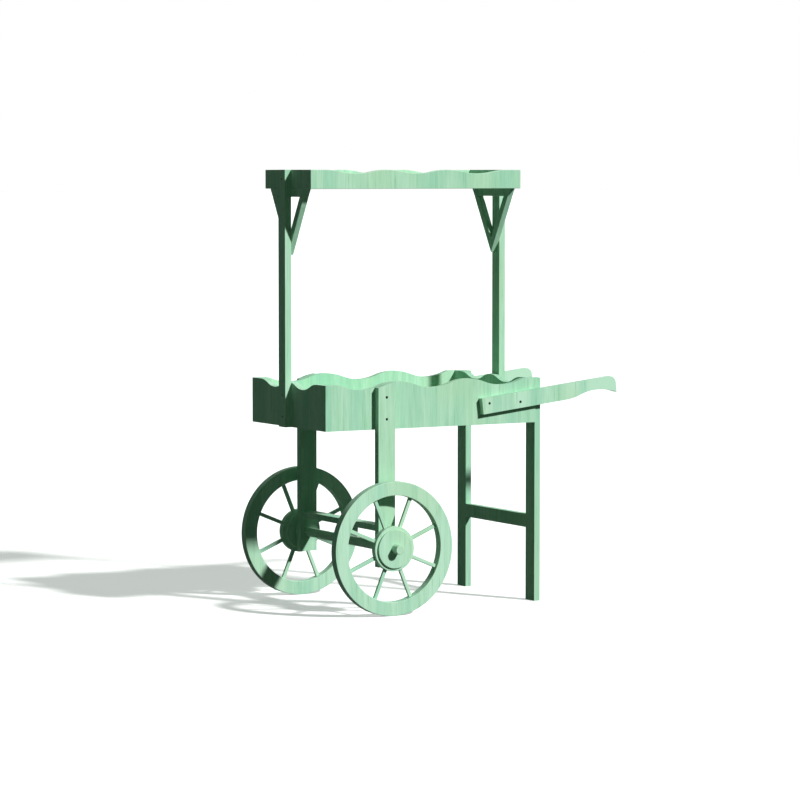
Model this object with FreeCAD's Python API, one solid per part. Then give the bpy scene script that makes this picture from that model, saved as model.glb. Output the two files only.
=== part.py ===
import FreeCAD, Part
import math
import os

V = FreeCAD.Vector

# A two-wheeled wooden display cart. X runs along the tray towards the handles, Y across it,
# Z up. The origin is on the floor, below the middle of the overall length and width.
# All sizes are in millimetres. Every place is worked out from the tray's left end (X = 0) and
# from the middle of its width (Y = 0), and is moved to the origin when a piece is saved.

# ---- Driving dimensions ----

# Tray
tray_length = 800.0
tray_width = 500.0
tray_bottom = 600.0
board_thickness = 22.0
land_height = 148.0
long_crest = 6.0
long_wave_depth = 24.0
long_waves = 3
end_wave_depth = 22.0
end_wave_land = 60.0
end_waves = 2

# Tray floor
batten_width = 30.0
batten_height = 18.0
slat_thickness = 12.0
slat_count = 5
slat_gap = 8.0
slat_edge_gap = 2.0

# Posts
post_thickness = 23.0
post_width = 45.0

# Top shelf
shelf_bottom = 1376.0
shelf_depth = 310.0
fascia_height = 62.0
fascia_thickness = 18.0
fascia_wave_depth = 12.0
fascia_wave_land = 52.0
fascia_waves = 3
shelf_batten_width = 24.0
shelf_batten_height = 16.0
shelf_slat_count = 3
shelf_slat_gap = 6.0

# Braces below the shelf's ends
brace_half_width = 120.0
brace_drop = 216.0
brace_bar_width = 24.0
brace_top_height = 26.0
brace_thickness = 20.0

# Wheel legs and their stretcher
wheel_leg_x = 213.0
wheel_leg_width = 62.0
wheel_leg_thickness = 24.0
wheel_leg_below_axle = 64.0
stretcher_above_axle = 61.0
stretcher_width = 45.0
stretcher_thickness = 20.0

# Wheels
wheel_radius = 218.0
rim_width = 45.0
rim_thickness = 30.0
rim_gap = 20.0
spoke_count = 8
spoke_width = 12.0
spoke_thickness = 10.0
spoke_setback = 10.0
hub_radius = 73.0
hub_thickness = 22.0
cap_radius = 63.0
cap_thickness = 7.0
inner_cap_radius = 60.0
inner_cap_thickness = 9.0
spacer_radius = 28.0

# Axle
axle_radius = 15.0
axle_end = 30.0

# Stand legs and their stretcher
stand_leg_thickness = 22.0
stand_leg_width = 54.0
stand_leg_inset = 5.0
stand_stretcher_bottom = 243.0
stand_stretcher_height = 45.0

# Handles
handle_slope = 6.5
handle_overlap = 216.0
handle_lift = 35.0
handle_height = 53.0
handle_length = 532.0
handle_thickness = 20.0
grip_length = 202.0
grip_peak_from_tip = 92.0
grip_rise = 16.0
grip_flare = 4.0
handle_nose_radius = 24.0

# Screws
screw_head_radius = 4.5
screw_head_thickness = 3.0
screw_shank_radius = 2.0
screw_sunk = 1.0
screw_into_board = 14.0
screw_top_margin = 49.0
screw_bottom_margin = 34.0
handle_screw_spots = ((27.0, 33.0), (147.0, 20.0))

# Clearances
axle_running_clearance = 0.05
glue_line = 0.03
spacer_side_clearance = 0.5
slat_end_gap = 1.0
screw_clearance = 0.05

# ---- Places that follow from them ----

half_width = tray_width / 2
half_shelf = shelf_depth / 2
land_top = tray_bottom + land_height
crest_top = land_top + long_crest
shelf_top = shelf_bottom + fascia_height
leg_outer = half_width + wheel_leg_thickness
stand_outer = half_width - stand_leg_inset
stand_inner = stand_outer - stand_leg_width
rim_inner = leg_outer + rim_gap
rim_outer = rim_inner + rim_thickness
hub_inner = rim_outer - hub_thickness
inner_cap_start = hub_inner - inner_cap_thickness
cap_outer = rim_outer + cap_thickness
axle_half_length = cap_outer + axle_end
axle_z = wheel_radius
handle_angle = math.radians(handle_slope)
handle_start = V(tray_length - handle_overlap, 0, tray_bottom + handle_lift)
handle_tip_x = (
    handle_start.x + handle_length * math.cos(handle_angle) + grip_flare * math.sin(handle_angle)
)
origin_x = (handle_tip_x - post_thickness) / 2

pieces = {}


# ---- Shapes used more than once ----

def block(x_low, x_high, y_low, y_high, z_low, z_high):
    """A square-edged board from its lowest to its highest corner."""
    return Part.makeBox(x_high - x_low, y_high - y_low, z_high - z_low, V(x_low, y_low, z_low))


def tube_y(x, z, y_low, y_high, outer, bore=0.0):
    """A disc or ring whose axis runs along Y."""
    ring = Part.makeCylinder(outer, y_high - y_low, V(x, y_low, z), V(0, 1, 0))
    if bore > 0:
        ring = ring.cut(Part.makeCylinder(bore, y_high - y_low, V(x, y_low, z), V(0, 1, 0)))
    return ring


def between(side, near, far):
    """The lowest and highest Y of a piece that lies from near to far on one side of the middle."""
    return min(side * near, side * far), max(side * near, side * far)


def line(start, end):
    return Part.LineSegment(start, end).toShape()


def arc(start, middle, end):
    return Part.Arc(start, middle, end).toShape()


def s_curve(start, end):
    """Two equal arcs that leave start level, meet halfway and reach end level."""
    run = end.x - start.x
    rise = end.z - start.z
    radius = (run * run + rise * rise) / (4 * abs(rise))
    half_turn = math.asin(abs(run) / (2 * radius)) / 2
    along = math.copysign(radius * math.sin(half_turn), run)
    away = math.copysign(radius * (1 - math.cos(half_turn)), rise)
    centre = (start + end) * 0.5
    return [
        arc(start, start + V(along, 0, away), centre),
        arc(centre, end - V(along, 0, away), end),
    ]


def wave_board(length, thickness, bottom, top, crest, depth, waves, land):
    """A board along X whose top edge dips in equal waves between two flat lands.

    Dips fall to top + crest - depth. Crests rise to top + crest, but the edge stays
    level with top near both ends.
    """
    half = (length - 2 * land) / waves / 2
    high = top + crest
    edges = []
    for index in range(waves):
        left = V(land + 2 * index * half, 0, high)
        dip = left + V(half, 0, -depth)
        right = left + V(2 * half, 0, 0)
        edges += s_curve(left, dip) + s_curve(dip, right)
    start = V(land, 0, high)
    end = V(length - land, 0, high)
    low_start = V(land, 0, bottom)
    low_end = V(length - land, 0, bottom)
    edges += [line(end, low_end), line(low_end, low_start), line(low_start, start)]
    middle = Part.Face(Part.Wire(edges)).extrude(V(0, thickness, 0))
    if land > 0:
        middle = middle.fuse(block(0, land, 0, thickness, bottom, high))
        middle = middle.fuse(block(length - land, length, 0, thickness, bottom, high))
    if crest > 0:
        level = land + half / 2
        for low in (0, length - level):
            middle = middle.cut(block(low, low + level, 0, thickness, top, high))
    return middle.removeSplitter()


def plate_yz(points, x_low, thickness):
    """A flat piece with straight edges in the YZ plane."""
    corners = [V(x_low, y, z) for y, z in points]
    return Part.Face(Part.makePolygon(corners + corners[:1])).extrude(V(thickness, 0, 0))


def screw(head_at, inward, length, grow=0.0):
    """A sunk round-headed screw. With grow above zero it is the hole that takes the screw."""
    top = 0.0 if grow > 0 else screw_sunk
    head_end = screw_sunk + screw_head_thickness + grow
    head = Part.makeCylinder(
        screw_head_radius + grow, head_end - top, head_at + inward * top, inward
    )
    shank = Part.makeCylinder(
        screw_shank_radius + grow, length - top + grow, head_at + inward * top, inward
    )
    return head.fuse(shank).removeSplitter()


def fasten(group, spots, inward, length, through):
    """Put a screw at every spot, and its hole in each of the pieces it goes through."""
    for spot in spots:
        hole = screw(spot, inward, length, screw_clearance)
        for name in through:
            pieces[name] = pieces[name].cut(hole)
        pieces.setdefault(group, []).append(screw(spot, inward, length))


# ---- Tray: two long boards between two end boards, each with a scalloped top edge ----

def long_edge_board():
    """The outline that the long boards and the wheel legs' tops share."""
    return wave_board(
        tray_length, tray_width, 0.0, land_top, long_crest, long_wave_depth, long_waves, 0.0
    )


long_outline = long_edge_board()
long_outline.translate(V(0, -half_width, 0))


def under_long_edge(shape):
    """Trim a piece to the long boards' scalloped edge."""
    return shape.common(long_outline)


for side, name in ((-1, "front"), (1, "back")):
    y_low, y_high = between(side, half_width - board_thickness, half_width)
    board = block(
        board_thickness, tray_length - board_thickness, y_low, y_high, tray_bottom, crest_top
    )
    pieces["tray_" + name + "_board"] = under_long_edge(board)

for x_low, name in ((0.0, "left"), (tray_length - board_thickness, "right")):
    board = wave_board(
        tray_width, board_thickness, tray_bottom, land_top, 0.0, end_wave_depth,
        end_waves, end_wave_land,
    )
    board.rotate(V(0, 0, 0), V(0, 0, 1), 90)
    board.translate(V(x_low + board_thickness, -half_width, 0))
    pieces["tray_" + name + "_end"] = board


# ---- Decks: slats that lie lengthwise on three crosswise battens ----

def deck(name, length, wall, half_inside, bottom, batten, slats, gap):
    """Battens and slats inside a frame whose walls are wall thick."""
    width, height = batten
    inside = length - 2 * wall
    for place, part_of in ((0.0, "left"), (0.5, "middle"), (1.0, "right")):
        x_low = wall + place * (inside - width)
        pieces[name + "_batten_" + part_of] = block(
            x_low, x_low + width, -half_inside, half_inside, bottom, bottom + height
        )
    room = 2 * (half_inside - slat_edge_gap)
    slat_width = (room - (slats - 1) * gap) / slats
    for index in range(slats):
        y_low = slat_edge_gap - half_inside + index * (slat_width + gap)
        pieces[name + "_slat_" + str(index + 1)] = block(
            wall + slat_end_gap, length - wall - slat_end_gap, y_low, y_low + slat_width,
            bottom + height, bottom + height + slat_thickness,
        )


deck(
    "tray", tray_length, board_thickness, half_width - board_thickness, tray_bottom,
    (batten_width, batten_height), slat_count, slat_gap,
)
deck(
    "shelf", tray_length, fascia_thickness, half_shelf - fascia_thickness, shelf_bottom,
    (shelf_batten_width, shelf_batten_height), shelf_slat_count, shelf_slat_gap,
)


# ---- Top shelf: long fascias with shallow dips, and plain end fascias between them ----

for side, name in ((-1, "front"), (1, "back")):
    fascia = wave_board(
        tray_length, fascia_thickness, shelf_bottom, shelf_top, 0.0, fascia_wave_depth,
        fascia_waves, fascia_wave_land,
    )
    fascia.translate(V(0, between(side, half_shelf - fascia_thickness, half_shelf)[0], 0))
    pieces["shelf_" + name + "_fascia"] = fascia

for x_low, name in ((0.0, "left"), (tray_length - fascia_thickness, "right")):
    inside = half_shelf - fascia_thickness
    pieces["shelf_" + name + "_fascia"] = block(
        x_low, x_low + fascia_thickness, -inside, inside, shelf_bottom, shelf_top
    )


# ---- Posts on the outside of the tray's ends, up to the top of the shelf ----

for x_low, name in ((-post_thickness, "left"), (tray_length, "right")):
    pieces["post_" + name] = block(
        x_low, x_low + post_thickness, -post_width / 2, post_width / 2, tray_bottom, shelf_top
    )


# ---- Braces: a top bar and two slanted bars that meet in a point on the post ----

brace_lean = math.atan2(brace_half_width, brace_drop)
bar_across = brace_bar_width / math.cos(brace_lean)
bar_along = brace_bar_width / math.sin(brace_lean)
bar_top = shelf_bottom - brace_top_height
bar_top_y = brace_half_width * (1 - brace_top_height / brace_drop)
apex = shelf_bottom - brace_drop

for x_low, name in ((0.0, "left"), (tray_length - brace_thickness, "right")):
    pieces["brace_" + name + "_top"] = plate_yz(
        [
            (-brace_half_width, shelf_bottom),
            (brace_half_width, shelf_bottom),
            (bar_top_y, bar_top),
            (-bar_top_y, bar_top),
        ],
        x_low, brace_thickness,
    )
    for side, end in ((-1, "front"), (1, "back")):
        pieces["brace_" + name + "_" + end] = plate_yz(
            [
                (side * bar_top_y, bar_top),
                (0.0, apex),
                (0.0, apex + bar_along),
                (side * (bar_top_y - bar_across), bar_top),
            ],
            x_low, brace_thickness,
        )


# ---- Wheel legs on the outside of the long boards, and the stretcher between them ----

for side, name in ((-1, "front"), (1, "back")):
    y_low, y_high = between(side, half_width, leg_outer)
    leg = block(
        wheel_leg_x - wheel_leg_width / 2, wheel_leg_x + wheel_leg_width / 2,
        -half_width, half_width, axle_z - wheel_leg_below_axle, crest_top,
    )
    leg = under_long_edge(leg).common(
        block(0, tray_length, -half_width, wheel_leg_thickness - half_width, 0, crest_top)
    )
    leg.translate(V(0, y_low + half_width, 0))
    bore = tube_y(wheel_leg_x, axle_z, y_low, y_high, axle_radius + axle_running_clearance)
    pieces["wheel_leg_" + name] = leg.cut(bore)

stretcher_middle = axle_z + stretcher_above_axle
pieces["wheel_leg_stretcher"] = block(
    wheel_leg_x - stretcher_width / 2, wheel_leg_x + stretcher_width / 2,
    -half_width, half_width,
    stretcher_middle - stretcher_thickness / 2, stretcher_middle + stretcher_thickness / 2,
)


# ---- Wheels and the axle that turns with them ----

pieces["axle"] = tube_y(wheel_leg_x, axle_z, -axle_half_length, axle_half_length, axle_radius)

rim_bore = wheel_radius - rim_width
glued_bore = axle_radius + glue_line

for side, name in ((-1, "front"), (1, "back")):
    rim_y = between(side, rim_inner, rim_outer)
    hub_y = between(side, hub_inner, rim_outer)
    cap_y = between(side, rim_outer, cap_outer)
    inner_cap_y = between(side, inner_cap_start, hub_inner)
    spacer_y = between(side, leg_outer + spacer_side_clearance, inner_cap_start)
    spoke_y = between(
        side, rim_outer - spoke_setback - spoke_thickness, rim_outer - spoke_setback
    )
    start = "wheel_" + name
    pieces[start + "_rim"] = tube_y(wheel_leg_x, axle_z, *rim_y, wheel_radius, rim_bore)
    pieces[start + "_hub"] = tube_y(wheel_leg_x, axle_z, *hub_y, hub_radius, glued_bore)
    pieces[start + "_cap"] = tube_y(wheel_leg_x, axle_z, *cap_y, cap_radius, glued_bore)
    pieces[start + "_inner_cap"] = tube_y(
        wheel_leg_x, axle_z, *inner_cap_y, inner_cap_radius, glued_bore
    )
    pieces[start + "_spacer"] = tube_y(
        wheel_leg_x, axle_z, *spacer_y, spacer_radius, glued_bore
    )
    room = tube_y(wheel_leg_x, axle_z, *spoke_y, rim_bore, hub_radius)
    spokes = []
    for index in range(spoke_count):
        bar = block(
            wheel_leg_x, wheel_leg_x + wheel_radius, *spoke_y,
            axle_z - spoke_width / 2, axle_z + spoke_width / 2,
        )
        turn = (index + 0.5) * 360.0 / spoke_count
        bar.rotate(V(wheel_leg_x, 0, axle_z), V(0, 1, 0), turn)
        spokes.append(bar.common(room).Solids[0])
    pieces[start + "_spokes"] = spokes


# ---- Stand legs on the outside of the right end board, and the stretcher between them ----

for side, name in ((-1, "front"), (1, "back")):
    y_low, y_high = between(side, stand_inner, stand_outer)
    pieces["stand_leg_" + name] = block(
        tray_length, tray_length + stand_leg_thickness, y_low, y_high, 0, land_top
    )

pieces["stand_leg_stretcher"] = block(
    tray_length, tray_length + stand_leg_thickness, -stand_inner, stand_inner,
    stand_stretcher_bottom, stand_stretcher_bottom + stand_stretcher_height,
)


# ---- Handles: sloping boards with a scooped underside that makes the grip ----

def handle_outline():
    """The handle's side, level, with its lower left corner at X = 0, Z = 0."""
    corner = V(0, 0, 0)
    scoop = V(handle_length - grip_length, 0, 0)
    peak = V(handle_length - grip_peak_from_tip, 0, grip_rise)
    tip = V(handle_length, 0, -grip_flare)
    flare_run = tip.x - peak.x
    flare_fall = peak.z - tip.z
    flare_radius = (flare_run * flare_run + flare_fall * flare_fall) / (2 * flare_fall)
    half_turn = math.asin(flare_run / flare_radius) / 2
    flare_middle = peak + V(
        flare_radius * math.sin(half_turn), 0, flare_radius * (math.cos(half_turn) - 1)
    )
    nose_low = V(handle_length, 0, handle_height - handle_nose_radius)
    nose_high = V(handle_length - handle_nose_radius, 0, handle_height)
    nose_centre = V(nose_high.x, 0, nose_low.z)
    nose_middle = nose_centre + V(1, 0, 1) * (handle_nose_radius / math.sqrt(2))
    top_left = V(0, 0, handle_height)
    edges = [line(corner, scoop)]
    edges += s_curve(scoop, peak)
    edges += [
        arc(peak, flare_middle, tip),
        line(tip, nose_low),
        arc(nose_low, nose_middle, nose_high),
        line(nose_high, top_left),
        line(top_left, corner),
    ]
    return Part.Face(Part.Wire(edges))


for side, name in ((-1, "front"), (1, "back")):
    y_low = between(side, half_width, half_width + handle_thickness)[0]
    handle = handle_outline().extrude(V(0, handle_thickness, 0))
    handle.rotate(V(0, 0, 0), V(0, 1, 0), -handle_slope)
    handle.translate(handle_start + V(0, y_low, 0))
    pieces["handle_" + name] = handle


# ---- Screws, each through one piece and into the one behind it ----

lower_screw_z = tray_bottom + screw_bottom_margin
upper_screw_z = crest_top - screw_top_margin
fascia_screw_z = shelf_bottom + fascia_height / 2

for outer_x, inward, name in (
    (-post_thickness, V(1, 0, 0), "left"),
    (tray_length + post_thickness, V(-1, 0, 0), "right"),
):
    length = post_thickness + screw_into_board
    spots = [V(outer_x, 0, lower_screw_z), V(outer_x, 0, upper_screw_z)]
    fasten("post_screws", spots, inward, length, ("post_" + name, "tray_" + name + "_end"))
    spots = [V(outer_x, 0, fascia_screw_z)]
    fasten("post_screws", spots, inward, length, ("post_" + name, "shelf_" + name + "_fascia"))

for side, name in ((-1, "front"), (1, "back")):
    board_name = "tray_" + name + "_board"
    inward = V(0, -side, 0)
    spots = [
        V(wheel_leg_x, side * leg_outer, lower_screw_z),
        V(wheel_leg_x, side * leg_outer, upper_screw_z),
    ]
    length = wheel_leg_thickness + screw_into_board
    fasten("wheel_leg_screws", spots, inward, length, ("wheel_leg_" + name, board_name))
    spots = []
    for along, up in handle_screw_spots:
        spots.append(V(
            handle_start.x + along * math.cos(handle_angle) - up * math.sin(handle_angle),
            side * (half_width + handle_thickness),
            handle_start.z + along * math.sin(handle_angle) + up * math.cos(handle_angle),
        ))
    length = handle_thickness + screw_into_board
    fasten("handle_screws", spots, inward, length, ("handle_" + name, board_name))
    middle_y = side * (stand_inner + stand_outer) / 2
    outer_x = tray_length + stand_leg_thickness
    spots = [V(outer_x, middle_y, lower_screw_z), V(outer_x, middle_y, upper_screw_z)]
    length = stand_leg_thickness + screw_into_board
    fasten(
        "stand_leg_screws", spots, V(-1, 0, 0), length,
        ("stand_leg_" + name, "tray_right_end"),
    )


# ---- Save every piece in its own file ----

os.makedirs("parts", exist_ok=True)
for name, shape in pieces.items():
    if isinstance(shape, list):
        shape = Part.makeCompound(shape)
    placed = shape.copy()
    placed.translate(V(-origin_x, 0, 0))
    for solid in placed.Solids:
        assert solid.isValid(), name
    placed.exportStep("parts/" + name + ".step")

print("pieces", len(pieces), "origin from the tray's left end", round(origin_x, 3))
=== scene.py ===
# %% [markdown]
# # A painted flower cart around its measured frame
#
# The cart arrives as a fixed frame: every board, leg, wheel and dowel is already at its
# real size. This lesson adds what the eye looks for: eased edges, thin paint over straight
# grain, sunk screws, and a plain lit stage. The frame is loaded first, because everything
# that follows is placed by it.

# %% Load the frame
import bmesh
import bpy
import math
from mathutils import Matrix, Vector


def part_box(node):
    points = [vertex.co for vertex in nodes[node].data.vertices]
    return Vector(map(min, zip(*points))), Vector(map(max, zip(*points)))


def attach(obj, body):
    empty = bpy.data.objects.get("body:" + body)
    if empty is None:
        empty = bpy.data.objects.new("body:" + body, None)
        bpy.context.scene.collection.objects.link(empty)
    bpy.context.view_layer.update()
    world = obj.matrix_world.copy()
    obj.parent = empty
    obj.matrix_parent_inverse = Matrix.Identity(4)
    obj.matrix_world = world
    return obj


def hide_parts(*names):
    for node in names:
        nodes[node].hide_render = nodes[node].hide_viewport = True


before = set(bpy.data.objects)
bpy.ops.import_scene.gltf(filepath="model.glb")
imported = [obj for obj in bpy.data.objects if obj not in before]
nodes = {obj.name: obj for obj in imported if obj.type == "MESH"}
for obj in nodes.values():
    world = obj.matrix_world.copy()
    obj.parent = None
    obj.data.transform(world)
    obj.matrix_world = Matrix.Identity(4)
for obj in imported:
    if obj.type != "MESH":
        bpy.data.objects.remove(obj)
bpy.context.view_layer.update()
print("pieces in the frame:", len(nodes))

# %% [markdown]
# ## The camera
#
# The photograph was taken from eye height with a long lens, from the front left. A long
# lens keeps the upright posts nearly parallel. The camera stands where the cart's corners
# fall on their places in the picture, so it needs no shift, only a slight downward tilt.

# %% Place the camera
CAMERA_PLACE = Vector((-5.518, -9.151, 1.4275))
CAMERA_TURN = math.radians(30.53)
CAMERA_TILT = math.radians(4.067)
CAMERA_LENS = 143.7
CAMERA_SENSOR = 36.0


def place_camera():
    data = bpy.data.cameras.new("camera")
    data.lens = CAMERA_LENS
    data.sensor_width = CAMERA_SENSOR
    camera = bpy.data.objects.new("camera", data)
    camera.location = CAMERA_PLACE
    camera.rotation_euler = (math.pi / 2 - CAMERA_TILT, 0, -CAMERA_TURN)
    bpy.context.scene.collection.objects.link(camera)
    bpy.context.scene.camera = camera
    return camera


camera = place_camera()
print("camera distance:", round(camera.location.length, 2), "m")

# %% [markdown]
# ## Shader maths as plain sums
#
# A material is a net of small boxes. Written one box at a time it is hard to read, so one
# small class wraps a socket and lets it be added, multiplied or raised like a number. Each
# sum adds its Math box. Every operator has a reflected form too, so that a number may
# stand on its left.

# %% A socket that does sums
class Wire:
    """A socket of one finish that can be used in sums."""

    def __init__(self, finish, socket):
        self.finish = finish
        self.socket = socket

    def sum(self, operation, *values):
        """One Math box that works on the given values."""
        values = dict(enumerate(values))
        return self.finish.node("ShaderNodeMath", {"operation": operation}, values)

    def apply(self, operation, *others):
        """One Math box whose first value is this wire."""
        return self.sum(operation, self, *others)

    def __add__(self, other):
        return self.sum("ADD", self, other)

    def __radd__(self, other):
        return self.sum("ADD", other, self)

    def __sub__(self, other):
        return self.sum("SUBTRACT", self, other)

    def __rsub__(self, other):
        return self.sum("SUBTRACT", other, self)

    def __mul__(self, other):
        return self.sum("MULTIPLY", self, other)

    def __rmul__(self, other):
        return self.sum("MULTIPLY", other, self)

    def __truediv__(self, other):
        return self.sum("DIVIDE", self, other)

    def __rtruediv__(self, other):
        return self.sum("DIVIDE", other, self)

    def __pow__(self, other):
        return self.sum("POWER", self, other)

    def __rpow__(self, other):
        return self.sum("POWER", other, self)

    def clamped(self):
        """The same value, kept between 0 and 1."""
        return self.apply("MAXIMUM", 0.0).apply("MINIMUM", 1.0)

    def above(self, start, slope):
        """0 up to the start, then rising by the slope, and never over 1."""
        return ((self - start) * slope).clamped()

    def below(self, end, slope):
        """0 from the end on, rising by the slope before it, and never over 1."""
        return ((end - self) * slope).clamped()


print("a wire can be added, subtracted, multiplied, divided and raised")

# %% [markdown]
# ## A finish and its boxes
#
# Materials and the world are both nets of boxes, so one class builds either of them. Every
# box comes from one method, which takes the box's type, its settings, and what goes into
# its sockets. The other methods are short names for what comes up often: a mix of two
# colours, a stretched position, and soft noise.

# %% A finish: one net and the boxes in it
class Finish:
    """The boxes of one material, or of the world. They are made by node()."""

    def __init__(self, holder):
        self.holder = holder
        holder.use_nodes = True
        self.tree = holder.node_tree
        self.tree.nodes.clear()

    def node(self, kind, settings=None, values=None, output=0):
        """Add a box: settings first, then a value or a wire for each named socket."""
        box = self.tree.nodes.new(kind)
        for name, value in (settings or {}).items():
            setattr(box, name, value)
        for name, value in (values or {}).items():
            if isinstance(value, Wire):
                self.tree.links.new(value.socket, box.inputs[name])
            else:
                box.inputs[name].default_value = value
        return Wire(self, box.outputs[output]) if box.outputs else None

    def mix(self, amount, low, high):
        """A colour between low and high."""
        colour_low, colour_high, colour_out = 6, 7, 2
        return self.node(
            "ShaderNodeMix", {"data_type": "RGBA"},
            {0: amount, colour_low: low, colour_high: high}, colour_out,
        )

    def scaled(self, vector, scale, shift=(0.0, 0.0, 0.0)):
        """A position stretched along each axis and moved."""
        return self.node(
            "ShaderNodeVectorMath", {"operation": "MULTIPLY_ADD"},
            {0: vector, 1: scale, 2: shift},
        )

    def noise(self, place, size, detail=2.0, roughness=0.5):
        """Soft random values about 0.5, with size cycles in a metre."""
        return self.node(
            "ShaderNodeTexNoise", {},
            {"Vector": place, "Scale": size, "Detail": detail, "Roughness": roughness},
        )

    def close(self, surface, output="ShaderNodeOutputMaterial"):
        """Send the finished surface to the output."""
        self.node(output, {}, {"Surface": surface})
        return self.holder


print("shader helpers ready")

# %% [markdown]
# ## Thin mint paint over straight grain
#
# The boards of the real cart carry a thin, nearly matte paint, and the wood below shows as
# upright streaks: a few broad bands, many narrow streaks, thin lines, and fine fibres.
# These four are noise that is stretched along the board. Broad patches of warmer paint lie
# over them. Each piece has its own number, which moves its pattern, so no two neighbouring
# boards match.

# %% The paint's colours and sizes
PAINT_DEEP = (0.272, 0.568, 0.352, 1.0)
PAINT_PALE = (0.492, 0.756, 0.568, 1.0)
PAINT_COOL = (0.335, 0.650, 0.492, 1.0)
PAINT_WARM = (0.430, 0.668, 0.420, 1.0)
PAINT_PORE = (0.190, 0.415, 0.255, 1.0)
PAINT_WORN = (0.640, 0.785, 0.640, 1.0)
PAINT_GLOSS = 0.03
PATCH_SIZE = 5.0
BAND_SIZE = 15.0
STREAK_SIZE = 72.0
LINE_SIZE = 230.0
FIBRE_SIZE = 620.0
PORE_SIZE = 1100.0
ALONG = 0.05
STRETCH = {"upright": (1.0, 1.0, ALONG), "long": (ALONG, 1.0, 1.0), "cross": (1.0, ALONG, 1.0)}
GRAIN_AXIS = {"upright": 2, "long": 0, "cross": 1}
PATTERN_STEP = (3.17, 5.31, 7.73)


def number_of_piece(finish):
    """The number that each piece carries, as a shift of its pattern."""
    index = finish.node("ShaderNodeObjectInfo", {}, {}, "Object Index")
    return finish.node(
        "ShaderNodeVectorMath", {"operation": "SCALE"}, {0: PATTERN_STEP, "Scale": index}
    )


def board_place(finish, grain):
    """The position in a board, squeezed so that noise turns into streaks along the grain."""
    place = finish.node("ShaderNodeTexCoord", {}, {}, "Object")
    return finish.scaled(place, STRETCH[grain], number_of_piece(finish))


print("cycles of noise in a metre: bands", BAND_SIZE, "streaks", STREAK_SIZE, "lines", LINE_SIZE)

# %% [markdown]
# ## Grain that follows a spoke
#
# A spoke is cut along its own length, so its streaks have to turn with it. The position is
# measured from the axle as an angle and a distance. The angle is brought back to the middle
# of the nearest spoke, and that gives the distance across the spoke and along it.

# %% Position across and along a spoke
SPOKE_COUNT = 8
SPOKE_STEP = 2 * math.pi / SPOKE_COUNT
FIRST_SPOKE = 0.5
axle_low, axle_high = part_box("axle")
AXLE_X = (axle_low[0] + axle_high[0]) / 2
AXLE_Z = (axle_low[2] + axle_high[2]) / 2


def spoke_place(finish):
    """The position in a spoke, squeezed so that noise turns into streaks along it."""
    body = finish.node("ShaderNodeTexCoord", {}, {}, "Object")
    x, y, z = (finish.node("ShaderNodeSeparateXYZ", {}, {0: body}, axis) for axis in range(3))
    across = x - AXLE_X
    up = z - AXLE_Z
    reach = (across * across + up * up) ** 0.5
    turn = up.apply("ARCTAN2", across)
    spoke = (turn / SPOKE_STEP).apply("FLOOR") + FIRST_SPOKE
    off = turn - spoke * SPOKE_STEP
    return finish.node("ShaderNodeCombineXYZ", {}, {
        0: reach * off.apply("SINE") + spoke * PATTERN_STEP[0],
        1: y,
        2: reach * off.apply("COSINE") * ALONG,
    })


print("axle at", round(AXLE_X, 4), round(AXLE_Z, 4))

# %% [markdown]
# ## The paint, its cut ends and its wear
#
# Cut ends drink more paint, so they are deeper, duller and full of pores. Eased edges carry
# less of it. The wheels and the handles are a shade paler than the boards. The grips are
# rubbed smooth by hands, and their paint is paler towards the tip. One function makes all
# of these, so that they stay one family. A value whose name ends in ABOVE or BELOW is a
# pair: where a pattern starts to show, and how fast it comes in from there.

# %% Where a piece is cut across its grain, and where it is held
CUT_ABOVE = (0.80, 8.0)


def end_grain(finish, grain):
    """1 on faces that cut across the grain, 0 on faces along it."""
    if grain not in GRAIN_AXIS:
        return 0.0
    normal = finish.node("ShaderNodeTexCoord", {}, {}, "Normal")
    along = finish.node("ShaderNodeSeparateXYZ", {}, {0: normal}, GRAIN_AXIS[grain])
    return along.apply("ABSOLUTE").above(*CUT_ABOVE)


def held_part(finish, span):
    """0 up to the start of the span along X, 1 from its end."""
    body = finish.node("ShaderNodeTexCoord", {}, {}, "Object")
    along = finish.node("ShaderNodeSeparateXYZ", {}, {0: body}, 0)
    start, end = span
    return along.above(start, 1 / (end - start))


print("cut ends are found for grain:", ", ".join(GRAIN_AXIS))

# %% How strongly each pattern shows
MIDDLE = 0.5
PATCH_STRETCH = (1.0, 1.0, 0.5)
ONE_LAYER = 1.0
STREAK_LAYERS = 4.0
STREAK_ROUGHNESS = 0.62
BAND_MARK, STREAK_MARK, LINE_MARK, FIBRE_MARK = 1.4, 1.5, 0.8, 0.5
STREAK_RELIEF, LINE_RELIEF, FIBRE_RELIEF = 0.6, 0.8, 0.5
RELIEF_STRENGTH = 0.22
RELIEF_HEIGHT = 0.0006
GRIP_PALE = 0.45
COOL_BELOW = (0.02, 5.0)
COOL_SHARE = 0.45
WARM_ABOVE = (0.02, 6.0)
WARM_SHARE = 0.40
LINE_BELOW = (-0.10, 9.0)
STREAK_BELOW = (0.05, 8.0)
GROOVE_SHARE = 0.40
PORE_ABOVE = (0.60, 10.0)
PORE_SHARE = 0.10
PORE_SHARE_CUT = 0.55
BARE_SLOPE = 3.0
PAINT_ROUGHNESS = 0.54
STREAK_DULL, FIBRE_DULL, CUT_DULL, RUBBED_SMOOTH = 0.30, 0.20, 0.16, 0.12
print("bump distance:", RELIEF_HEIGHT * 1000, "mm, at strength", RELIEF_STRENGTH)

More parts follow.
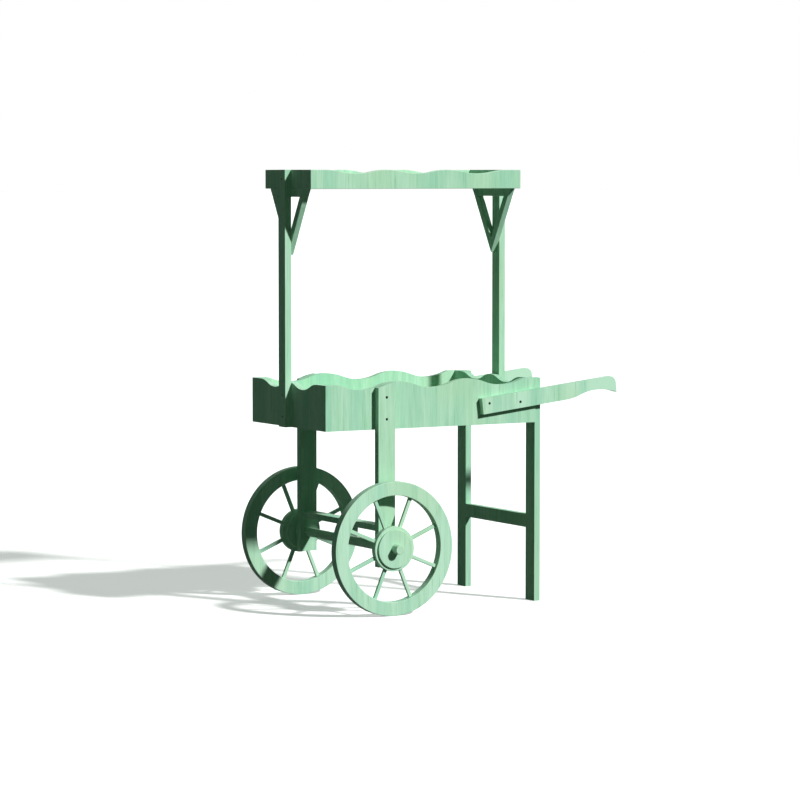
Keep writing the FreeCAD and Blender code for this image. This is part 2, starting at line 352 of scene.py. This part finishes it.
# %% The paint itself
def painted_wood(name, grain, worn=0.0, pale=0.0, held=None):
    """Paint over wood. worn: paint rubbed off, 0 to 1. pale: lighter paint. held: a grip."""
    finish = Finish(bpy.data.materials.new(name))
    place = spoke_place(finish) if grain == "spoke" else board_place(finish, grain)
    body = finish.node("ShaderNodeTexCoord", {}, {}, "Object")
    patch_place = finish.scaled(body, PATCH_STRETCH)
    patches = finish.noise(patch_place, PATCH_SIZE, ONE_LAYER) - MIDDLE
    bands = finish.noise(place, BAND_SIZE, ONE_LAYER) - MIDDLE
    streaks = finish.noise(place, STREAK_SIZE, STREAK_LAYERS, STREAK_ROUGHNESS) - MIDDLE
    lines = finish.noise(place, LINE_SIZE) - MIDDLE
    fibres = finish.noise(place, FIBRE_SIZE) - MIDDLE
    pores = finish.noise(body, PORE_SIZE, ONE_LAYER)
    cut = end_grain(finish, grain)
    rubbed = held_part(finish, held) if held else 0.0

    marks = bands * BAND_MARK + streaks * STREAK_MARK + lines * LINE_MARK + fibres * FIBRE_MARK
    # Towards the tip of a handle, the grip's paint is made paler.
    tone = MIDDLE + pale + marks + rubbed * GRIP_PALE
    colour = finish.mix(tone.clamped(), PAINT_DEEP, PAINT_PALE)
    colour = finish.mix(bands.below(*COOL_BELOW) * COOL_SHARE, colour, PAINT_COOL)
    colour = finish.mix(patches.above(*WARM_ABOVE) * WARM_SHARE, colour, PAINT_WARM)
    groove = lines.below(*LINE_BELOW) * streaks.below(*STREAK_BELOW)
    colour = finish.mix(groove * GROOVE_SHARE, colour, PAINT_PORE)
    pore = pores.above(*PORE_ABOVE) * (PORE_SHARE + cut * PORE_SHARE_CUT)
    colour = finish.mix(pore, colour, PAINT_PORE)
    if worn:
        bare = ((streaks + fibres) * BARE_SLOPE + worn).clamped() * worn
        colour = finish.mix(bare, colour, PAINT_WORN)

    grooves = fibres * FIBRE_RELIEF + lines * LINE_RELIEF + streaks * STREAK_RELIEF
    normal = finish.node("ShaderNodeBump", {}, {
        "Strength": RELIEF_STRENGTH, "Distance": RELIEF_HEIGHT,
        "Height": grooves * (1.0 - cut) + pores * cut,
    })
    roughness = PAINT_ROUGHNESS + streaks * STREAK_DULL + fibres * FIBRE_DULL
    roughness = roughness + cut * CUT_DULL - rubbed * RUBBED_SMOOTH
    surface = finish.node("ShaderNodeBsdfPrincipled", {}, {
        "Base Color": colour, "Roughness": roughness.clamped(), "Normal": normal,
        "Specular IOR Level": PAINT_GLOSS,
    })
    return finish.close(surface)


print("the paint's colours run from", PAINT_DEEP[:3], "to", PAINT_PALE[:3])

# %% [markdown]
# ## Which paint goes where
#
# The upright streaks of the photograph are on the boards, posts, legs, handles and wheels
# alike. The deck slats are cut along their length, and so are the battens, the spacers and
# the dowel axle, which all run across the cart. A piece has two finishes: the paint of its
# faces, and the thinner paint of its eased edges.

# %% Paint every wooden piece
WHEEL_PALE = 0.30
HANDLE_PALE = 0.25
EDGE_WORN = 0.45
GRIP_SPAN = (0.34, 0.47)
KINDS = {
    "board": {"grain": "upright"},
    "slat": {"grain": "long"},
    "batten": {"grain": "cross"},
    "wheel": {"grain": "upright", "pale": WHEEL_PALE},
    "turned": {"grain": "cross", "pale": WHEEL_PALE},
    "spoke": {"grain": "spoke", "pale": WHEEL_PALE},
    "handle": {"grain": "upright", "pale": HANDLE_PALE, "held": GRIP_SPAN},
}


def kind_of(name):
    if "leg" in name:
        return "board"
    for word in ("slat", "batten", "spoke", "handle"):
        if word in name:
            return word
    if "axle" in name or "spacer" in name:
        return "turned"
    return "wheel" if name.startswith("wheel") else "board"


paints = {}
for kind, settings in KINDS.items():
    faces = painted_wood("mint " + kind, **settings)
    edges = painted_wood("mint " + kind + " edge", worn=EDGE_WORN, **settings)
    paints[kind] = (faces, edges)

wooden = [name for name in sorted(nodes) if not name.endswith("screws")]
for number, name in enumerate(wooden, 1):
    nodes[name].pass_index = number
    slots = nodes[name].data.materials
    slots.clear()
    for paint in paints[kind_of(name)]:
        slots.append(paint)
print("painted:", len(wooden), "pieces in", len(KINDS), "kinds")

# %% [markdown]
# ## Eased edges
#
# A board straight from the saw has edges sharp enough to splinter, so they are eased with
# sandpaper, and the easing catches the light. The frame's flat faces come in triangles, so
# they are first joined into whole faces. Then a bevel that only touches sharp corners eases
# them without changing the board's size, and weighted normals keep the big faces flat.

# %% Ease the edges
EDGE_EASE = 0.0016
EASE_SEGMENTS = 2
SHARP_CORNER = math.radians(32)
FLAT_ENOUGH = math.radians(0.3)
SAME_PLACE = 1e-6
EDGE_SLOT = 1


def ease_edges(piece, width):
    weld = piece.modifiers.new("join", "WELD")
    weld.merge_threshold = SAME_PLACE
    flatten = piece.modifiers.new("flatten", "DECIMATE")
    flatten.decimate_type = "DISSOLVE"
    flatten.angle_limit = FLAT_ENOUGH
    bevel = piece.modifiers.new("ease", "BEVEL")
    bevel.width = width
    bevel.segments = EASE_SEGMENTS
    bevel.limit_method = "ANGLE"
    bevel.angle_limit = SHARP_CORNER
    bevel.use_clamp_overlap = True
    bevel.material = EDGE_SLOT
    piece.modifiers.new("normals", "WEIGHTED_NORMAL").keep_sharp = True


for name in wooden:
    ease_edges(nodes[name], EDGE_EASE)
print("edges eased by", EDGE_EASE * 1000, "mm")

# %% [markdown]
# ## Where the screws sit
#
# The dark dots on the boards are blackened screws, sunk a little below the paint. The frame
# holds each group as plain rods, so their places are read from it: every separate rod is
# found by walking from corner to corner, its axis is its longest side, and its head is the
# end that is wider. The walk may find the rods in any order, so they are sorted by place,
# and the script gives the same screws on every run.

# %% Find every screw
HEAD_RADIUS = 0.0045
SHANK_RADIUS = 0.0020
BETWEEN_RADII = (HEAD_RADIUS + SHANK_RADIUS) / 2
DIGITS = 4


def separate_rods(mesh):
    """The corners of each separate solid in a mesh."""
    work = bmesh.new()
    work.from_mesh(mesh)
    bmesh.ops.remove_doubles(work, verts=work.verts, dist=SAME_PLACE)
    left = set(work.verts)
    rods = []
    while left:
        reached = [left.pop()]
        for corner in reached:
            for edge in corner.link_edges:
                other = edge.other_vert(corner)
                if other in left:
                    left.remove(other)
                    reached.append(other)
        rods.append([corner.co.copy() for corner in reached])
    work.free()
    return rods


def place_of_screw(corners):
    """The middle of the head's outer face, the direction it faces, and the screw's length."""
    low = Vector(min(corner[i] for corner in corners) for i in range(3))
    high = Vector(max(corner[i] for corner in corners) for i in range(3))
    size = high - low
    axis = max(range(3), key=lambda i: size[i])
    middle = (low + high) / 2
    wide = []
    for corner in corners:
        away = corner - middle
        away[axis] = 0.0
        if away.length > BETWEEN_RADII:
            wide.append(corner[axis])
    outward = 1.0 if sum(wide) / len(wide) > middle[axis] else -1.0
    top = middle.copy()
    top[axis] += outward * size[axis] / 2
    facing = Vector((0.0, 0.0, 0.0))
    facing[axis] = outward
    return top, facing, round(size[axis], DIGITS)


def order_of_screw(place):
    """The middle of the head, rounded, so that screws always sort the same way."""
    top, facing, length = place
    return [round(value, DIGITS) for value in top]


groups = [name for name in sorted(nodes) if name.endswith("screws")]
screw_places = {}
for group in groups:
    places = [place_of_screw(rod) for rod in separate_rods(nodes[group].data)]
    screw_places[group] = sorted(places, key=order_of_screw)
    print(group, len(places))

# %% [markdown]
# ## A screw
#
# A screw is a turned shape, so its outline is spun round its axis. The cross that takes the
# driver is cut out of the head with a boolean, because it is a real hollow that shows from
# the side too. A screw of each length is made once, and copied later.

# %% Turn the screw and cut its cross
HEAD_DEPTH = 0.0030
HEAD_OUTLINE = (
    (0.0, 0.0), (0.0016, -0.00003), (0.0029, -0.00022), (0.0038, -0.0006),
    (0.0043, -0.0011), (HEAD_RADIUS, -0.0017), (HEAD_RADIUS, -0.0028), (0.0043, -HEAD_DEPTH),
    (SHANK_RADIUS, -HEAD_DEPTH),
)
TURN_STEPS = 40
CROSS_LENGTH = 0.0052
CROSS_WIDTH = 0.0012
CROSS_DEPTH = 0.0020
CROSS_TOP = CROSS_DEPTH / 4 + SAME_PLACE
CROSS_TAPER = 0.55
SCREW_TIP = 0.004


def turned(name, outline, steps):
    """Spin an outline of (radius, height) points round the Z axis."""
    work = bmesh.new()
    rings = []
    for radius, height in outline:
        if radius == 0.0:
            rings.append([work.verts.new((0.0, 0.0, height))])
            continue
        ring = []
        for step in range(steps):
            turn = 2 * math.pi * step / steps
            place = (radius * math.cos(turn), radius * math.sin(turn), height)
            ring.append(work.verts.new(place))
        rings.append(ring)
    for upper, lower in zip(rings, rings[1:]):
        for step in range(steps):
            after = (step + 1) % steps
            corners = [upper[step % len(upper)], lower[step % len(lower)],
                       lower[after % len(lower)], upper[after % len(upper)]]
            work.faces.new(list(dict.fromkeys(corners)))
    bmesh.ops.recalc_face_normals(work, faces=work.faces)
    mesh = bpy.data.meshes.new(name)
    work.to_mesh(mesh)
    work.free()
    return mesh


def cross_cutter():
    """Two wedges that cross, wide at the top and narrow at the bottom."""
    work = bmesh.new()
    for long_way in (0, 1):
        corners = []
        for height, shrink in ((CROSS_TOP, 1.0), (-CROSS_DEPTH, CROSS_TAPER)):
            for x, y in ((-1, -1), (1, -1), (1, 1), (-1, 1)):
                span = [x * CROSS_LENGTH / 2 * shrink, y * CROSS_WIDTH / 2 * shrink]
                if long_way:
                    span = [-span[1], span[0]]
                corners.append(work.verts.new((*span, height)))
        work.faces.new(corners[:4])
        work.faces.new(corners[7:3:-1])
        for i in range(4):
            j = (i + 1) % 4
            work.faces.new((corners[i], corners[i + 4], corners[j + 4], corners[j]))
    bmesh.ops.recalc_face_normals(work, faces=work.faces)
    mesh = bpy.data.meshes.new("cross cutter")
    work.to_mesh(mesh)
    work.free()
    return bpy.data.objects.new("cross cutter", mesh)


def screw_mesh(length):
    """One screw of the given length, with its head's top at the origin, facing up."""
    shank = ((SHANK_RADIUS, SCREW_TIP - length), (0.0, -length))
    blank = bpy.data.objects.new("blank", turned("blank", HEAD_OUTLINE + shank, TURN_STEPS))
    cutter = cross_cutter()
    for item in (blank, cutter):
        bpy.context.scene.collection.objects.link(item)
    cut = blank.modifiers.new("cross", "BOOLEAN")
    cut.operation = "DIFFERENCE"
    cut.object = cutter
    cut.solver = "EXACT"
    cut.use_self = True
    mesh = bpy.data.meshes.new_from_object(
        blank.evaluated_get(bpy.context.evaluated_depsgraph_get())
    )
    for item in (blank, cutter):
        bpy.data.objects.remove(item)
    return mesh


lengths = {length for places in screw_places.values() for top, facing, length in places}
screw_kinds = {length: screw_mesh(length) for length in sorted(lengths)}
for length, mesh in screw_kinds.items():
    print("a screw of", round(length * 1000, 1), "mm has", len(mesh.vertices), "corners")

# %% [markdown]
# ## Blackened steel
#
# The screws are blackened, so they are nearly as dark as their holes. A little bare steel
# shows through in small patches.

# %% The steel
STEEL_DARK = (0.012, 0.014, 0.015, 1.0)
STEEL_RUBBED = (0.075, 0.080, 0.082, 1.0)
STEEL_METALLIC = 0.7
STEEL_ROUGHNESS = 0.62
RUB_SIZE = 900.0
RUB_LAYERS = 3.0
RUB_ROUGHNESS = 0.6
RUB_ABOVE = (0.52, 5.0)
RUB_SHARE = 0.5
RUB_SMOOTH = 0.18
PIT_STRENGTH = 0.15
PIT_DEPTH = 0.0001


def blackened_steel():
    """Dark steel with small rubbed patches, which are paler and smoother."""
    finish = Finish(bpy.data.materials.new("blackened steel"))
    place = finish.node("ShaderNodeTexCoord", {}, {}, "Object")
    rub = finish.noise(place, RUB_SIZE, RUB_LAYERS, RUB_ROUGHNESS)
    rubbed = rub.above(*RUB_ABOVE)
    normal = finish.node("ShaderNodeBump", {}, {
        "Strength": PIT_STRENGTH, "Distance": PIT_DEPTH, "Height": rub,
    })
    surface = finish.node("ShaderNodeBsdfPrincipled", {}, {
        "Base Color": finish.mix(rubbed * RUB_SHARE, STEEL_DARK, STEEL_RUBBED),
        "Metallic": STEEL_METALLIC,
        "Roughness": STEEL_ROUGHNESS - rubbed * RUB_SMOOTH,
        "Normal": normal,
    })
    return finish.close(surface)


steel = blackened_steel()
print("steel:", steel.name)

# %% [markdown]
# ## Every screw in its hole
#
# Each screw is given its own turn, because nobody lines up the crosses. The boolean leaves
# slivers, faces with next to no area, so the screws are cut into triangles and the slivers
# are dissolved. Edges that bend sharply are marked, and everything else is shaded smooth.
# The screws of a group become one piece, which takes the place of the frame's plain rods.

# %% Fit the screws
TURN_EACH = 1.9
SLIVER = 1e-5
SMOOTH_ANGLE = math.radians(35)


def fit_screws(group, places):
    """One piece that holds all the screws of a group."""
    work = bmesh.new()
    for number, (top, facing, length) in enumerate(places):
        mesh = screw_kinds[length].copy()
        aim = facing.to_track_quat("Z", "Y").to_matrix().to_4x4()
        turn = Matrix.Rotation(TURN_EACH * number, 4, "Z")
        mesh.transform(Matrix.Translation(top) @ aim @ turn)
        work.from_mesh(mesh)
        bpy.data.meshes.remove(mesh)
    bmesh.ops.triangulate(work, faces=work.faces)
    bmesh.ops.dissolve_degenerate(work, dist=SLIVER, edges=work.edges)
    for face in work.faces:
        face.smooth = True
    for edge in work.edges:
        edge.smooth = edge.calc_face_angle(0.0) < SMOOTH_ANGLE
    mesh = bpy.data.meshes.new(group + "_turned")
    work.to_mesh(mesh)
    work.free()
    mesh.materials.append(steel)
    piece = bpy.data.objects.new(group + "_turned", mesh)
    bpy.context.scene.collection.objects.link(piece)
    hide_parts(group)
    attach(piece, "cart")


for group, places in screw_places.items():
    fit_screws(group, places)
print("screws fitted:", sum(len(places) for places in screw_places.values()))

# %% [markdown]
# ## The floor
#
# The stage is a pale floor that runs out of sight. The camera sees it nearly white, and so
# do rays that were mirrored or let through. Every other ray meets a dull floor that throws
# back little light, so that the cart's own shade stays deep. The cart's shadow still falls
# on the floor.

# %% A pale floor
FLOOR_SIZE = 400.0
FLOOR_PALE = 0.95
FLOOR_GLOW = 0.38
FLOOR_DULL = 0.05


def grey(level):
    return (level, level, level, 1.0)


def sees_background(finish):
    """1 for a ray of the camera, or one that was mirrored or let through, else 0."""
    rays = ("Is Camera Ray", "Is Glossy Ray", "Is Transmission Ray")
    camera_ray, mirrored, let_through = (
        finish.node("ShaderNodeLightPath", {}, {}, ray) for ray in rays
    )
    return (camera_ray + mirrored + let_through).clamped()


def pale_floor():
    half = FLOOR_SIZE / 2
    mesh = bpy.data.meshes.new("floor")
    corners = [(-half, -half, 0), (half, -half, 0), (half, half, 0), (-half, half, 0)]
    mesh.from_pydata(corners, [], [(0, 1, 2, 3)])
    floor = bpy.data.objects.new("floor", mesh)
    bpy.context.scene.collection.objects.link(floor)
    finish = Finish(bpy.data.materials.new("pale floor"))
    pale = finish.node("ShaderNodeBsdfDiffuse", {}, {"Color": grey(FLOOR_PALE)})
    glow = finish.node("ShaderNodeEmission", {}, {"Strength": FLOOR_GLOW})
    bright = finish.node("ShaderNodeAddShader", {}, {0: pale, 1: glow})
    dull = finish.node("ShaderNodeBsdfDiffuse", {}, {"Color": grey(FLOOR_DULL)})
    surface = finish.node(
        "ShaderNodeMixShader", {}, {0: sees_background(finish), 1: dull, 2: bright}
    )
    mesh.materials.append(finish.close(surface))


pale_floor()
print("floor:", FLOOR_SIZE, "m wide")

# %% [markdown]
# ## The lamps and the fill
#
# The main lamp shines from the front right and about 35 degrees up, a direction close to
# that of the sun in the photograph. The left faces fall into shade, and the handle throws
# its shadow on the board behind it. A second, very wide lamp stands behind the cart, so
# that its back can be read too. It can't reach the front and left faces. The world fills
# what is left, faintly and a little green, to match the deep green of the shade in the
# photograph. The rays that see the floor nearly white see the world white.

# %% Lamps and world
LIGHT_FROM = Vector((0.50, -1.0, 0.775))
LAMP_STRENGTH = 4.1
LAMP_SPREAD = math.radians(4)
BACK_FROM = Vector((0.6, 1.0, 0.35))
BACK_STRENGTH = 1.3
BACK_SPREAD = math.radians(50)
FILL_STRENGTH = 0.09
FILL_COLOUR = (0.55, 1.0, 0.70, 1.0)


def soft_lamp(name, light_from, strength, spread):
    data = bpy.data.lights.new(name, "SUN")
    data.energy = strength
    data.angle = spread
    lamp = bpy.data.objects.new(name, data)
    lamp.rotation_euler = light_from.to_track_quat("Z", "Y").to_euler()
    bpy.context.scene.collection.objects.link(lamp)


def fill_world():
    finish = Finish(bpy.data.worlds.new("world"))
    fill = finish.node(
        "ShaderNodeBackground", {}, {"Color": FILL_COLOUR, "Strength": FILL_STRENGTH}
    )
    white = finish.node("ShaderNodeBackground", {}, {"Color": grey(1.0)})
    shown = finish.node(
        "ShaderNodeMixShader", {}, {0: sees_background(finish), 1: fill, 2: white}
    )
    bpy.context.scene.world = finish.close(shown, "ShaderNodeOutputWorld")


soft_lamp("main lamp", LIGHT_FROM, LAMP_STRENGTH, LAMP_SPREAD)
soft_lamp("back lamp", BACK_FROM, BACK_STRENGTH, BACK_SPREAD)
fill_world()
bpy.context.scene.view_settings.view_transform = "Standard"
print("lamps:", LAMP_STRENGTH, "front,", BACK_STRENGTH, "back, fill:", FILL_STRENGTH)
